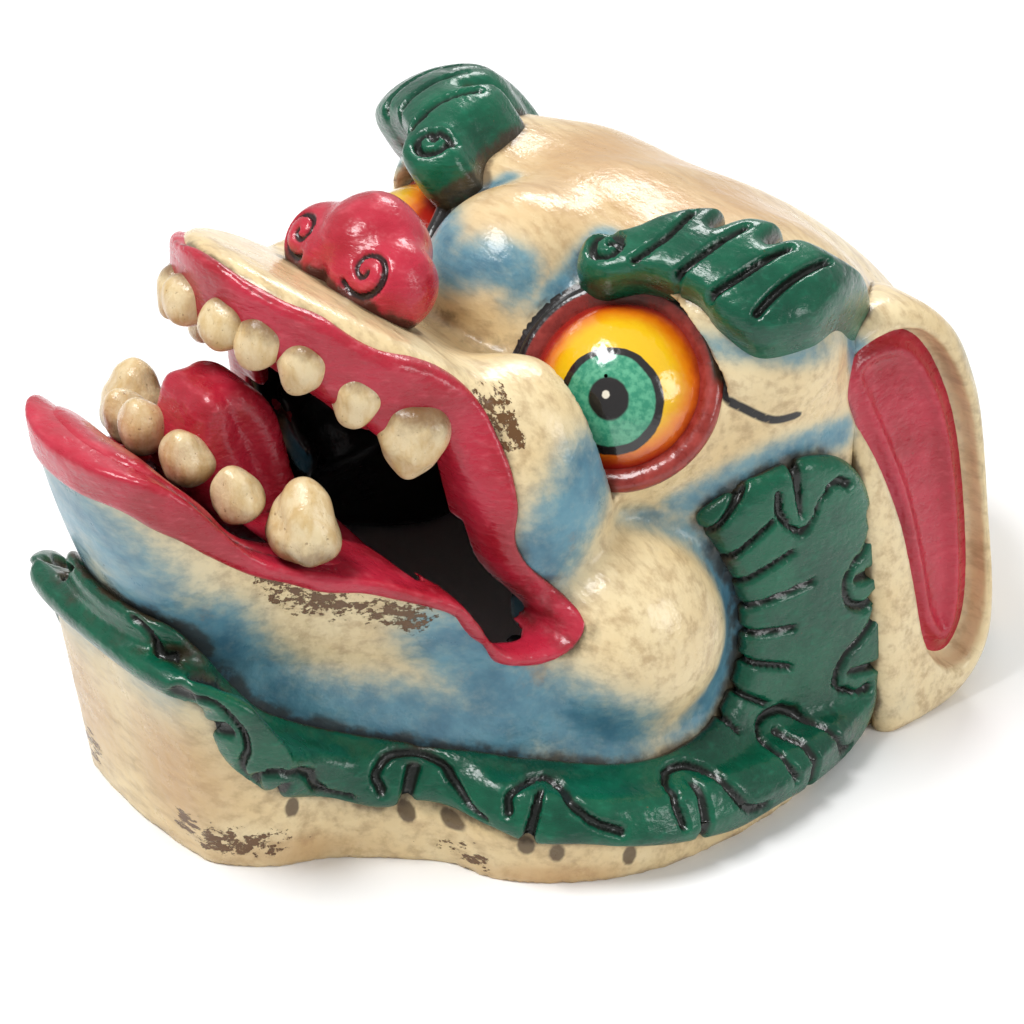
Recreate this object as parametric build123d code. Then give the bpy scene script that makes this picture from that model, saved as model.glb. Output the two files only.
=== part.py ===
from build123d import *
import os
from math import cos, pi, sin, sqrt

os.makedirs("parts", exist_ok=True)

# A hollow festival mask: a dragon's head with its mouth fixed open. It is worn over the
# wearer's head and rests on its open rim when it is put down.
# +X is the mask's own left, the face looks towards -Y, and the rim lies in the plane z = 0.

# ---------------------------------------------------------------- driving dimensions (mm)
# skull: a dome at the back, a face in front of it and jowls at the sides
wall = 9
dome_half_width, dome_length, dome_height = 108, 127.5, 166
dome_y = 62
face_half_width, face_depth, face_height = 92, 80, 108
face_y, face_z = 25, 75
jowl_half_width, jowl_depth, jowl_height = 120, 76, 100
jowl_y = -25
glabella_radius = 35
glabella_y, glabella_z = -6, 151
temple_half_width, temple_depth, temple_height = 48, 58, 58
temple_x, temple_y, temple_z = 54, 46, 119

# snout: the roof of the mouth, pitched up, with a lobe at each side of it
snout_front, snout_half_width = 132, 70
snout_roof_half_width, snout_roof_length, snout_roof_height = 82, 127, 39
snout_y, snout_z, snout_pitch = -48, 128, 36
lobe_half_width, lobe_depth, lobe_height = 33, 30, 46
lobe_x, lobe_y, lobe_z = 57, -50, 114
snout_wall = 9

# lower jaw: a scoop that flares out towards its lip
jaw_front, jaw_half_width = 164, 94     # at the height of the seam with the beard
jaw_flare = 25                          # how far the lip overhangs the seam
jaw_seam_z, jaw_lip_z = 70, 152
jaw_wall = 10
jaw_floor_z, jaw_floor_rise, jaw_floor_thickness = 88, 26, 8

# mouth corner and the two lips
corner_y, corner_z, corner_radius = -72, 86, 10
upper_lip_band, lower_lip_band = 18, 8
lip_proud = 3
snout_joint_y = -44                     # the joint between the snout and the skull
gum_band, gum_reach = 8, 2
upper_gum_thickness, lower_gum_thickness = 7, 12
gum_height_share = 0.6                  # how much of the jaw's flare the lower gum has
upper_gum_end, lower_gum_end = -70, -112

# collar: skirt below, beard and manes above it
foot_front, foot_half_width = 167, 132
beard_overhang, beard_overhang_z = 9, 66
collar_sections = ((0, 0), (17, 1), (50, 18), (150, 40))     # height, how far the sides lean in
skirt_wall = 10
seam_front_z, beard_top_z = 72, 104
beard_half_width = 62                   # where the beard meets the manes

# cheeks, eyes, lids
cheek_radius = 37
cheek_x, cheek_y, cheek_z = 82, -28, 64
eye_radius = 32
eye_x, eye_y, eye_z = 57, -5, 134
lid_thickness, lid_near, lid_far = 6, 12, 24
lid_slab_width = 140
gaze = (0.455, -0.645, 0.613)           # the way the left eye looks

# nose, brows, ears
nose_radius, nostril_radius = 20, 15
nose_y, nose_z = -64, 184
brow_length, brow_depth, brow_height = 46, 22, 17
brow_curl_radius, brow_curl_x, brow_curl_y = 14, 34, 15
brow_x, brow_y, brow_z, brow_yaw = 72, 16, 178, 33
ear_length, ear_half_width, ear_relief = 81, 27, 17
ear_y, ear_z = 86, 81
concha_depth = 7

# teeth and tongue
tooth_radius, tooth_length = 6.5, 15
fang_radius, fang_length = 10, 25
tooth_space = 1.5                       # between neighbours
middle_space = 2                        # from the first upper tooth to the middle
tongue_width, tongue_thickness, tongue_height = 40, 11, 36
tongue_y, tongue_pitch = -136, -20

seat_gap = 0.2                          # clearance between pieces seated on each other


# ---------------------------------------------------------------- small helpers
def ellipsoid(centre, radii, pitch=0, yaw=0):
    return Pos(*centre) * Rot(0, 0, yaw) * Rot(-pitch, 0, 0) * scale(Sphere(1), by=radii)


def shrunk(radii, amount):
    return tuple(radius - amount for radius in radii)


def slab(low, high):
    """A box between two opposite corners."""
    middle = [(a + b) / 2 for a, b in zip(low, high)]
    return Pos(*middle) * Box(*[b - a for a, b in zip(low, high)])


def side_prism(points, reach=320):
    """A closed outline in the side view, given as (y, z), pushed right through the mask."""
    outline = Polyline(*[(0, y, z) for y, z in points], close=True)
    return extrude(make_face(outline), amount=reach, dir=(1, 0, 0), both=True)


def plan_face(half_outline, z):
    """A smooth closed outline in plan, from the right half's points, at one height."""
    left = [(-x, y) for x, y in reversed(half_outline) if x > 0]
    outline = Spline(*[(x, y, z) for x, y in half_outline + left], periodic=True)
    return make_face(outline)


def mirrored(shape):
    return mirror(shape, about=Plane.YZ)


def biggest(shape):
    return max(shape.solids(), key=lambda solid: solid.volume)


def cut(shape, *tools):
    """The largest solid left when each tool has been taken out of a shape."""
    for tool in tools:
        shape = biggest(shape - tool)
    return shape


def save(name, shape):
    piece = biggest(shape)
    export_step(piece, f"parts/{name}.step")
    print(name, round(piece.volume))
    return piece


# ---------------------------------------------------------------- skull
above_ground = Pos(0, 0, 400) * Box(900, 900, 800)

dome_radii = (dome_half_width, dome_length, dome_height)
face_radii = (face_half_width, face_depth, face_height)
jowl_radii = (jowl_half_width, jowl_depth, jowl_height)
temple_radii = (temple_half_width, temple_depth, temple_height)
skull_parts = [
    ((0, dome_y, 0), dome_radii), ((0, face_y, face_z), face_radii), ((0, jowl_y, 0), jowl_radii)]
skull_parts += [((side * temple_x, temple_y, temple_z), temple_radii) for side in (-1, 1)]
skull = Part() + [ellipsoid(centre, radii) for centre, radii in skull_parts]
skull_inside = Part() + [ellipsoid(centre, shrunk(radii, wall)) for centre, radii in skull_parts]
glabella = ellipsoid((0, glabella_y, glabella_z), (glabella_radius,) * 3)

# ---------------------------------------------------------------- snout and jaw, as full volumes
def snout_outline(inset, z):
    front, half = snout_front - inset, snout_half_width - inset
    return plan_face([(0, -front), (0.22 * half, -0.985 * front), (0.63 * half, -0.86 * front),
                      (0.89 * half, -0.67 * front), (half, -0.42 * front), (half, 0),
                      (0.4 * half, 0.15 * front)], z)


def snout_volume(inset):
    walls = extrude(snout_outline(inset, 20), amount=240)
    roof_radii = shrunk((snout_roof_half_width, snout_roof_length, snout_roof_height), inset)
    roof = ellipsoid((0, snout_y, snout_z), roof_radii, snout_pitch)
    lobe_radii = shrunk((lobe_half_width, lobe_depth, lobe_height), inset)
    lobes = [ellipsoid((side * lobe_x, lobe_y, lobe_z), lobe_radii) for side in (-1, 1)]
    return (walls & roof) + lobes


snout_full = snout_volume(0)
snout_inside = snout_volume(snout_wall)


def jaw_outline(inset, flare, z):
    front, half = jaw_front + flare - inset, jaw_half_width + flare / 5 - inset
    return plan_face([(0, -front), (0.22 * half, 0.03 * half - front), (0.35 * half, 0.13 * half - front),
                      (0.45 * half, 0.29 * half - front), (0.7 * half, 0.64 * half - front),
                      (half, 1.02 * half - front), (half, -0.2 * front), (0.5 * half, 0)], z)


def jaw_volume(inset, bottom):
    slope = jaw_flare / (jaw_lip_z - jaw_seam_z)
    top = jaw_lip_z + 12
    return loft([jaw_outline(inset, slope * (z - jaw_seam_z), z) for z in (bottom, top)])


jaw_full = jaw_volume(0, 0)
jaw_inside = jaw_volume(jaw_wall, -5)

# ---------------------------------------------------------------- mouth opening
mouth_upper = [(-260, 226), (-126, 178), (-98, 150), (-77, 118)]
mouth_lower = [(-260, 162), (-177, 150), (-152, 122), (-129, 108), (-100, 100)]


def mouth_wedge(spread):
    """The open mouth in the side view, its edges moved outward by spread all round."""
    reach = corner_radius + spread
    upper = [(y + 0.55 * spread, z + 0.84 * spread) for y, z in mouth_upper]
    lower = [(y - 0.45 * spread, z - 0.89 * spread) for y, z in reversed(mouth_lower)]
    corner = [(corner_y + reach, corner_z + 0.3 * reach), (corner_y, corner_z - reach),
              (corner_y - 0.9 * reach, corner_z - 0.4 * reach)]
    return side_prism(upper + corner + lower)


mouth = mouth_wedge(0)
bite_slope = 0.8                        # the plane between the jaws falls this much per mm back
above_bite = side_prism([(-300, corner_z + bite_slope * (300 + corner_y)), (corner_y, corner_z),
                         (300, corner_z - 20), (300, 400), (-300, 400)])
below_bite = side_prism([(-300, corner_z + bite_slope * (300 + corner_y)), (corner_y, corner_z),
                         (300, corner_z - 20), (300, -200), (-300, -200)])


# ---------------------------------------------------------------- collar
def collar_face(inset, lean, z):
    half = foot_half_width - inset - lean
    front = foot_front - inset + beard_overhang * min(z / beard_overhang_z, 1)
    return plan_face([(0, -front), (0.21 * half, -0.99 * front), (0.4 * half, -0.89 * front),
                      (0.56 * half, -0.68 * front), (0.77 * half, -0.57 * front), (0.96 * half, -0.36 * front),
                      (half, -0.18 * front), (0.96 * half, 0.07 * front), (0.85 * half, 0.3 * front),
                      (0.72 * half, 0.44 * front), (0, 0.5 * front)], z)


def collar_volume(inset):
    return loft([collar_face(inset, lean, z) for z, lean in collar_sections])


collar = collar_volume(0)
collar_inside = collar_volume(skirt_wall)
beyond = 260                            # past the mask's front
seam = [(-172, seam_front_z - 6), (-160, 41), (-134, 27), (-98, 21), (-54, 13), (-18, 7), (21, 4)]
mane_outer = [(62, 4), (70, 50), (68, 80), (52, 111), (30, 119), (7, 112), (-4, 103)]
mane_inner = [(7, 75), (4, 44), (-26, 33), (-61, 34), (-101, 41), (-143, 59), (-160, 93)]
skirt_zone = side_prism([(-beyond, seam_front_z)] + seam + [(96, 4), (96, -50), (-beyond, -50)])
mane_zone = side_prism([(-beyond, seam_front_z)] + seam + mane_outer + mane_inner
                       + [(-172, beard_top_z), (-beyond, beard_top_z)])

# ---------------------------------------------------------------- pieces of the shell
cheek_centre = (cheek_x, cheek_y, cheek_z)
cheek_ball = ellipsoid(cheek_centre, (cheek_radius,) * 3)
cheek_seat = ellipsoid(cheek_centre, (cheek_radius + seat_gap,) * 3)
eye_centre = (eye_x, eye_y, eye_z)
eye_ball = ellipsoid(eye_centre, (eye_radius,) * 3)
eye_seat = ellipsoid(eye_centre, (eye_radius + seat_gap,) * 3)

hollow = skull_inside + snout_inside + jaw_inside
face_hull = skull + glabella + snout_full
upper_lip_zone = mouth_wedge(upper_lip_band) & above_bite
snout_zone = above_bite & slab((-300, -400, -50), (300, snout_joint_y, 400))
upper_walls = (face_hull & above_ground) - hollow - mouth - upper_lip_zone
head_shell = save("head_shell", upper_walls - snout_zone)
snout = save("snout", upper_walls & snout_zone)
jaw_floor_zone = side_prism([(-200, jaw_floor_z + jaw_floor_rise), (-100, jaw_floor_z),
                             (-100, jaw_floor_z - jaw_floor_thickness),
                             (-200, jaw_floor_z + jaw_floor_rise - jaw_floor_thickness)])
jaw_floor = jaw_inside & jaw_floor_zone
jaw_walls = (jaw_full & below_bite) - hollow - skull - skirt_zone - mouth_wedge(lower_lip_band)
lower_jaw = save("lower_jaw", jaw_walls + jaw_floor)
neck_skirt = save("neck_skirt", (collar & skirt_zone & above_ground) - collar_inside - skull)

mane_band = (collar & mane_zone & above_ground) - face_hull - jaw_full
mane_band = mane_band - cheek_seat - mirrored(cheek_seat)
beard = save("beard", mane_band & slab((-beard_half_width, -300, -10), (beard_half_width, -90, 400)))
mane_left = save("mane_left", mane_band & slab((beard_half_width, -300, -10), (300, 300, 400)))
save("mane_right", mirrored(mane_left))

# ---------------------------------------------------------------- lips and gums
snout_proud = snout_volume(-lip_proud)
upper_lip = save("upper_lip", ((snout_proud + skull) & upper_lip_zone) - mouth - hollow)
jaw_proud = jaw_volume(-lip_proud, 0)
lower_lip_zone = mouth_wedge(lower_lip_band) & below_bite
lower_lip = save("lower_lip", (jaw_proud & lower_lip_zone) - mouth - hollow - skull)

# ---------------------------------------------------------------- cheeks, eyes, lids, nose, brows
cheek_left = save("cheek_left", cheek_ball - face_hull - jaw_full - snout_proud - (jaw_proud & lower_lip_zone))
save("cheek_right", mirrored(cheek_left))
eye_left = save("eye_left", eye_ball - face_hull)
save("eye_right", mirrored(eye_left))
lid_plane = Plane(origin=eye_centre, z_dir=gaze)
lid_slab = lid_plane * Pos(0, 0, (lid_near + lid_far) / 2) * Box(lid_slab_width, lid_slab_width,
                                                               lid_far - lid_near)
lid_ball = ellipsoid(eye_centre, (eye_radius + lid_thickness,) * 3)
eyelid_left = save("eyelid_left", (lid_ball & lid_slab) - eye_seat - face_hull - cheek_seat)
save("eyelid_right", mirrored(eyelid_left))

nose_blobs = [ellipsoid((0, nose_y, nose_z), (nose_radius,) * 3)]
nose_blobs += [ellipsoid((side * nose_radius, nose_y - 6, nose_z - 4), (nostril_radius,) * 3)
               for side in (-1, 1)]
nose = save("nose", cut(nose_blobs[0] + nose_blobs[1] + nose_blobs[2], snout_full, glabella))

brow_blob = ellipsoid((brow_x, brow_y, brow_z), (brow_length, brow_depth, brow_height), 0, brow_yaw)
brow_curl = ellipsoid((brow_x - brow_curl_x, brow_y - brow_curl_y, brow_z), (brow_curl_radius,) * 3)
brow_left = save("brow_left", cut(brow_blob + brow_curl, face_hull, lid_ball))
save("brow_right", mirrored(brow_left))

# ---------------------------------------------------------------- ears
ear_x = dome_half_width * sqrt(1 - ((ear_y - dome_y) / dome_length) ** 2 - (ear_z / dome_height) ** 2)
ear_blob = ellipsoid((ear_x, ear_y, ear_z), (ear_relief, ear_half_width, ear_length))
concha = ellipsoid((ear_x + ear_relief + 4, ear_y, ear_z),
                   (concha_depth + 4, 0.6 * ear_half_width, 0.8 * ear_length))
ear_left = save("ear_left", cut(ear_blob & above_ground, skull, concha, mane_left))
save("ear_right", mirrored(ear_left))

# ---------------------------------------------------------------- teeth
def tooth(radius, length):
    """A blunt peg on its root, pointing up +Z from the origin."""
    tip = 0.55 * radius
    crown = Pos(0, 0, (length - tip) / 2) * Cone(radius, tip, length - tip)
    return crown + Pos(0, 0, length - tip) * Sphere(tip)


def line_height(line, y):
    """Height of a side-view line, given as (y, z) points, at one depth."""
    for (y0, z0), (y1, z1) in zip(line, line[1:]):
        if y0 <= y <= y1:
            return z0 + (z1 - z0) * (y - y0) / (y1 - y0)
    return line[-1][1]


def seat_on(outline, line, distance):
    """A point of the gum line, this far round a plan outline from the front."""
    edge = outline.edges()[0]
    point = edge.position_at(distance / edge.length)
    return (point.X, point.Y, line_height(line, point.Y))


snout_gum = snout_outline(snout_wall + upper_gum_thickness / 2, 0)
jaw_gum = jaw_outline(jaw_wall + fang_radius, gum_height_share * jaw_flare, 0)

gum_zone = mouth_wedge(gum_band) - mouth_wedge(-gum_reach)
upper_gum_zone = gum_zone & above_bite & slab((-300, -400, 0), (300, upper_gum_end, 400))
lower_gum_zone = gum_zone & below_bite & slab((-300, -400, 0), (300, lower_gum_end, 400))
upper_gum = save("upper_gum", (snout_inside & upper_gum_zone)
                 - snout_volume(snout_wall + upper_gum_thickness))
lower_gum = save("lower_gum", (jaw_inside & lower_gum_zone) - jaw_floor
                 - jaw_volume(jaw_wall + lower_gum_thickness, -5))

upper_teeth = [(f"upper_tooth_{number}", tooth_radius, tooth_length) for number in range(1, 5)]
upper_teeth += [("upper_fang", fang_radius, fang_length)]
lower_teeth = [(f"lower_tooth_{number}", tooth_radius, tooth_length) for number in range(1, 3)]
lower_teeth += [("lower_fang", fang_radius, fang_length)]


def plant_row(teeth, outline, line, first, spacing, pointing, *seats):
    """Stand a row of teeth along a gum, from the front to the back, with its mirror image."""
    distance = first
    for name, radius, length in teeth:
        seat = seat_on(outline, line, distance)
        piece = cut(Plane(origin=seat, z_dir=pointing) * tooth(radius, length), *seats)
        piece = save(f"{name}_left", piece)
        save(f"{name}_right", mirrored(piece))
        last_small = name == teeth[-2][0]
        distance += fang_step if last_small else spacing


fang_step = tooth_radius + fang_radius + tooth_space
upper_pointing, lower_pointing = (0.1, -0.5, -0.86), (0, 0.1, 0.99)
plant_row(upper_teeth, snout_gum, mouth_upper, tooth_radius + middle_space,
          2 * tooth_radius + tooth_space, upper_pointing, upper_gum, snout)
plant_row(lower_teeth, jaw_gum, mouth_lower, 2 * tooth_radius, 3 * tooth_radius, lower_pointing, lower_gum)

tongue_root = line_height([(-200, jaw_floor_z + jaw_floor_rise), (-100, jaw_floor_z)], tongue_y)
tongue_blob = ellipsoid((0, tongue_y, tongue_root + 0.6 * tongue_height),
                        (tongue_width / 2, tongue_thickness / 2, tongue_height), tongue_pitch)
save("tongue", cut(tongue_blob, jaw_floor, lower_gum))
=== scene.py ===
from math import cos, pi, radians, sin

import bpy
import numpy as np
import openvdb
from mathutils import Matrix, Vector


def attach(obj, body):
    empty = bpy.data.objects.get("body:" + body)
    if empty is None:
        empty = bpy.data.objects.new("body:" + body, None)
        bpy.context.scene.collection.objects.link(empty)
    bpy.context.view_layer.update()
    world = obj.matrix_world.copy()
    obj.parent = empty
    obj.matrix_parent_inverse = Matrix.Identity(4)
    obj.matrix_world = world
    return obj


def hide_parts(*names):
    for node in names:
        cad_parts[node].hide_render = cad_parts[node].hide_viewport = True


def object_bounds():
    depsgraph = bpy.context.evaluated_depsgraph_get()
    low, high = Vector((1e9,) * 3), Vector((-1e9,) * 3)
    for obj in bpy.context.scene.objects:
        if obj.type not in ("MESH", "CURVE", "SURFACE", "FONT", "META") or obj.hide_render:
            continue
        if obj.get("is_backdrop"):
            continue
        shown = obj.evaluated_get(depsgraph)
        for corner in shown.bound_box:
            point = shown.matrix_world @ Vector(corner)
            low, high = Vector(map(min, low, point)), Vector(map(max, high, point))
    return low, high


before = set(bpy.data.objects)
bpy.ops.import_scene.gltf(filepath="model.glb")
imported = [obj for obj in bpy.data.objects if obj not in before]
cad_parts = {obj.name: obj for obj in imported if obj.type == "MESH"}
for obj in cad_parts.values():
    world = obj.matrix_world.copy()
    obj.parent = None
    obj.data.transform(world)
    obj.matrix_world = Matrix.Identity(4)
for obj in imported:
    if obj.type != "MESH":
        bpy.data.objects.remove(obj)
cad_low, cad_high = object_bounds()

# The sculpture is written in mask units: 1 unit is 1/380 of the mask's length, about a millimetre.
# +X is the mask's own left, the face looks towards -Y, and the rim stands on z = 0.
UNIT = (cad_high.y - cad_low.y) / 380
WALL = 9
CHEEK = (82, -28, 64)
CHEEK_RADIUS = 37
EYE = (57, -5, 134)
EYE_RADIUS = 32
GAZE = np.array((0.455, -0.645, 0.613))
EYE_OPENING = 15            # how far from the eye's centre the lids cut across the ball


# ---------------------------------------------------------------- distance fields
def smooth_min(a, b, k):
    h = np.maximum(k - np.abs(a - b), 0) / k
    return np.minimum(a, b) - h * h * k / 4


def smooth_max(a, b, k):
    return -smooth_min(-a, -b, k)


def step_up(value, low, high):
    """0 below low, 1 above high, and smooth between them."""
    t = np.clip((value - low) / (high - low), 0, 1)
    return t * t * (3 - 2 * t)


def turned(points, yaw=0, pitch=0):
    """Points seen from an axis system turned about Z, then X."""
    x, y, z = points.T
    if yaw:
        c, s = cos(radians(yaw)), sin(radians(yaw))
        x, y = c * x + s * y, c * y - s * x
    if pitch:
        c, s = cos(radians(pitch)), sin(radians(pitch))
        y, z = c * y - s * z, s * y + c * z
    return np.stack([x, y, z], 1)


def ellipsoid(points, centre, radii, yaw=0, pitch=0):
    """About the distance to an ellipsoid."""
    q = turned(points - np.array(centre, np.float32), yaw, pitch)
    r = np.array(radii, np.float32)
    k0 = np.linalg.norm(q / r, axis=1)
    k1 = np.linalg.norm(q / (r * r), axis=1) + 1e-9
    return k0 * (k0 - 1) / k1


def folded(points):
    """Both halves of the mask laid on the near one."""
    q = points.astype(np.float32).copy()
    q[:, 0] = np.abs(q[:, 0])
    return q


def curve(points, closed=False, steps=8):
    """A smooth curve through points."""
    pts = np.array(points, float)
    n = len(pts)
    if closed:
        ext = [pts[i % n] for i in range(-1, n + 2)]
    else:
        ext = [2 * pts[0] - pts[1], *pts, 2 * pts[-1] - pts[-2]]
    out = []
    for i in range(n if closed else n - 1):
        p0, p1, p2, p3 = ext[i:i + 4]
        for t in np.arange(steps) / steps:
            out.append(0.5 * (2 * p1 + (p2 - p0) * t + (2 * p0 - 5 * p1 + 4 * p2 - p3) * t * t
                              + (3 * p1 - p0 - 3 * p2 + p3) * t ** 3))
    return np.array(out if closed else out + [pts[-1]])


def axes_round(direction):
    """A direction, and the level and the upward axis that cross it."""
    forward = np.array(direction, float) / np.linalg.norm(direction)
    side = np.cross((0, 0, 1), forward)
    side /= np.linalg.norm(side)
    return forward, side, np.cross(forward, side)


class Table:
    """Values on a grid, smoothly looked up between its points."""

    def __init__(self, low, step, table):
        self.low, self.step, self.table = low, step, table

    def __call__(self, u, v):
        n, m = self.table.shape
        a = np.clip((u - self.low[0]) / self.step, 0, n - 1.001)
        b = np.clip((v - self.low[1]) / self.step, 0, m - 1.001)
        i, j = a.astype(int), b.astype(int)
        f, g = (a - i).astype(np.float32), (b - j).astype(np.float32)
        t = self.table
        return (t[i, j] * (1 - f) + t[i + 1, j] * f) * (1 - g) + (
            t[i, j + 1] * (1 - f) + t[i + 1, j + 1] * f) * g


class Outline(Table):
    """Signed distance to a smooth outline in a plane, or plain distance to an open line."""

    def __init__(self, points, low, high, step=1.0, closed=True):
        line = curve(points, closed)
        u, v = np.meshgrid(np.arange(low[0], high[0] + step, step),
                           np.arange(low[1], high[1] + step, step), indexing="ij")
        nearest = np.full(u.shape, 1e9)
        inside = np.zeros(u.shape, bool)
        ends = np.roll(line, -1, 0) if closed else line[1:]
        for (ax, ay), (bx, by) in zip(line, ends):
            ex, ey = bx - ax, by - ay
            t = np.clip(((u - ax) * ex + (v - ay) * ey) / (ex * ex + ey * ey + 1e-12), 0, 1)
            nearest = np.minimum(nearest, (u - ax - t * ex) ** 2 + (v - ay - t * ey) ** 2)
            if closed and abs(ey) > 1e-9:
                inside ^= ((ay > v) != (by > v)) & (u < ax + ex * (v - ay) / ey)
        super().__init__(low, step, (np.where(inside, -1, 1) * np.sqrt(nearest)).astype(np.float32))


SIDE = ((-260, -40), (240, 260))        # the side view, (y, z)
PLAN = ((0, -240), (180, 240))          # half the plan, (x, y)


def whole(points):
    """Half a plan outline, with its mirror image."""
    return points + [(-x, y) for x, y in reversed(points) if x > 0.5]


# ---------------------------------------------------------------- outlines
jaw_plan = Outline(whole([
    (0, -166), (20, -163), (33, -154), (42, -139), (52, -124), (66, -106), (82, -90), (94, -70),
    (98, -20), (60, 20), (0, 30)]), *PLAN)
snout_plan = Outline(whole([
    (0, -132), (15, -130), (30, -124), (44, -114), (55, -101), (62, -88), (67, -74), (70, -60),
    (74, -30), (60, 10), (0, 20)]), *PLAN)
foot_plan = Outline(whole([
    (0, -167), (28, -166), (41, -162), (53, -148), (60, -131), (74, -113), (86, -101), (101, -95),
    (114, -83), (127, -60), (132, -31), (127, 12), (112, 50), (96, 74), (50, 90), (0, 90)]), *PLAN)
upper_edge = [(-124, 172), (-116, 163), (-108, 156), (-101, 149), (-93, 154), (-86, 150), (-82, 136),
              (-78, 117), (-75, 103), (-69, 92), (-64, 86), (-61, 81)]
corner_edge = [(-66, 77), (-74, 76), (-82, 77), (-88, 84), (-92, 92), (-98, 100)]
lower_edge = [(-116, 107), (-129, 109), (-144, 114), (-152, 120), (-160, 130), (-170, 142), (-178, 148),
              (-188, 150), (-202, 148)]
mouth_side = Outline([(-260, 220), (-160, 186)] + upper_edge + corner_edge + lower_edge
                     + [(-260, 148)], *SIDE)
upper_lip_side = Outline([(-150, 240), (-132, 205), (-128, 197), (-123, 194), (-116, 190), (-109, 184),
                          (-101, 178), (-91, 175), (-84, 171), (-77, 164), (-72, 155),
                          (-70, 145), (-69, 135), (-69, 124), (-70, 113), (-66, 103), (-58, 93),
                          (-54, 87), (-56, 80), (-62, 74), (-72, 71), (-83, 74), (-88, 82), (-95, 90),
                          (-110, 120), (-140, 150), (-180, 180), (-180, 240)], *SIDE)
lower_lip_side = Outline([(-230, 134), (-196, 136), (-184, 135), (-174, 129), (-162, 120), (-152, 112),
                          (-143, 108), (-128, 103), (-114, 101), (-100, 97), (-92, 88), (-86, 84),
                          (-84, 92), (-92, 105), (-120, 130), (-160, 165), (-230, 190)], *SIDE)
mane_side = Outline([(-4, 103), (7, 112), (17, 116), (30, 119), (42, 117), (52, 111), (62, 98), (68, 80),
                     (71, 64), (70, 50), (69, 33), (66, 16), (60, 5), (49, 1), (21, 4), (4, 6), (-18, 6),
                     (-34, 9), (-54, 13), (-72, 17), (-88, 18), (-98, 22), (-109, 24), (-120, 22),
                     (-134, 27), (-151, 33), (-160, 41), (-166, 50), (-170, 64), (-174, 71), (-195, 73),
                     (-195, 92), (-173, 93), (-162, 82), (-152, 66), (-142, 54), (-124, 46), (-101, 41),
                     (-87, 40), (-61, 34), (-43, 32), (-26, 33), (-7, 36), (4, 44), (8, 58), (7, 75),
                     (1, 91)], *SIDE)
ear_side = Outline([(52, 146), (64, 154), (82, 155), (98, 150), (111, 138), (117, 123), (120, 106),
                    (121, 72), (123, 34), (119, 14), (106, 1), (86, -4), (68, -4), (64, 8), (62, 30),
                    (60, 66), (54, 105), (50, 132)], *SIDE)
concha_side = Outline([(76, 147), (63, 143), (57, 133), (61, 119), (68, 101), (75, 80), (80, 56), (85, 32),
                       (94, 18), (105, 15), (113, 24), (116, 40), (116, 64), (114, 96), (110, 116),
                       (102, 134), (91, 144)], *SIDE)


# ---------------------------------------------------------------- forms
# Each form is a field of (q, d): q is the point folded onto the near half, and d is its distance
# from the skin of the head.
# The rounded masses that the head is built up from: centre and radii.
DOME = ((0, 62, 0), (108, 127, 162))
FACE = ((0, 25, 75), (92, 80, 108))
TEMPLE = ((54, 46, 118), (46, 58, 58))
BROW_BONE = ((72, 24, 154), (38, 24, 24))
BROW_BONE_YAW = 30
JOWL = ((0, -25, 0), (120, 76, 100))
GLABELLA = ((0, -6, 151), (35, 35, 36))
SNOUT_ROOF = ((0, -60, 119), (140, 150, 32))
SNOUT_PITCH = 38
SNOUT_LOBE = ((57, -50, 114), (33, 30, 46))
THROAT = ((0, -58, 100), (62, 40, 50))
JAW_SEAM, JAW_LIP, JAW_TOP = 70, 148, 162
JAW_FLARE = 24
BEARD_OVERHANG, OVERHANG_HEIGHT = 9, 66
LEAN_HEIGHTS, LEAN_IN = [0, 17, 50, 150], [0, -1, 18, 40]       # how the collar's sides lean in
COLLAR_ALONG = [-175, -160, -148, -125, -95, -70, -30, 20, 60]
COLLAR_TOP = [74, 66, 46, 34, 30, 24, 20, 14, 10]


def snout(q):
    """The roof of the mouth, pitched up, with a lobe at each side."""
    roof = ellipsoid(q, *SNOUT_ROOF, pitch=SNOUT_PITCH)
    form = smooth_max(snout_plan(q[:, 0], q[:, 1]), roof, 12)
    return smooth_min(form, ellipsoid(q, *SNOUT_LOBE), 14)


def jaw(q):
    """A scoop that flares out towards its lip and ends at the corner of the mouth."""
    x, y, z = q.T
    rise = np.clip((z - JAW_SEAM) / (JAW_LIP - JAW_SEAM), 0, 1.2)
    flare = JAW_FLARE * rise * (1.5 - 0.5 * rise)
    form = smooth_max(jaw_plan(x, y + flare * 0.7) - flare * 0.3, z - JAW_TOP, 8)
    return smooth_max(form, (z - 76) * 0.78 + (y + 66) * 0.62, 6)


def collar(q):
    """The skirt, and what the beard and the manes lie on."""
    x, y, z = q.T
    lean = np.interp(z, LEAN_HEIGHTS, LEAN_IN)
    sides = np.clip((y + 150) / 50, 0, 1)
    lean = lean * sides - (1 - sides) * np.clip(z / OVERHANG_HEIGHT, 0, 1.2) * BEARD_OVERHANG
    top = np.interp(y, COLLAR_ALONG, COLLAR_TOP)
    return smooth_max(foot_plan(x, y) + lean, (z - top) * 0.8, 5)


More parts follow.
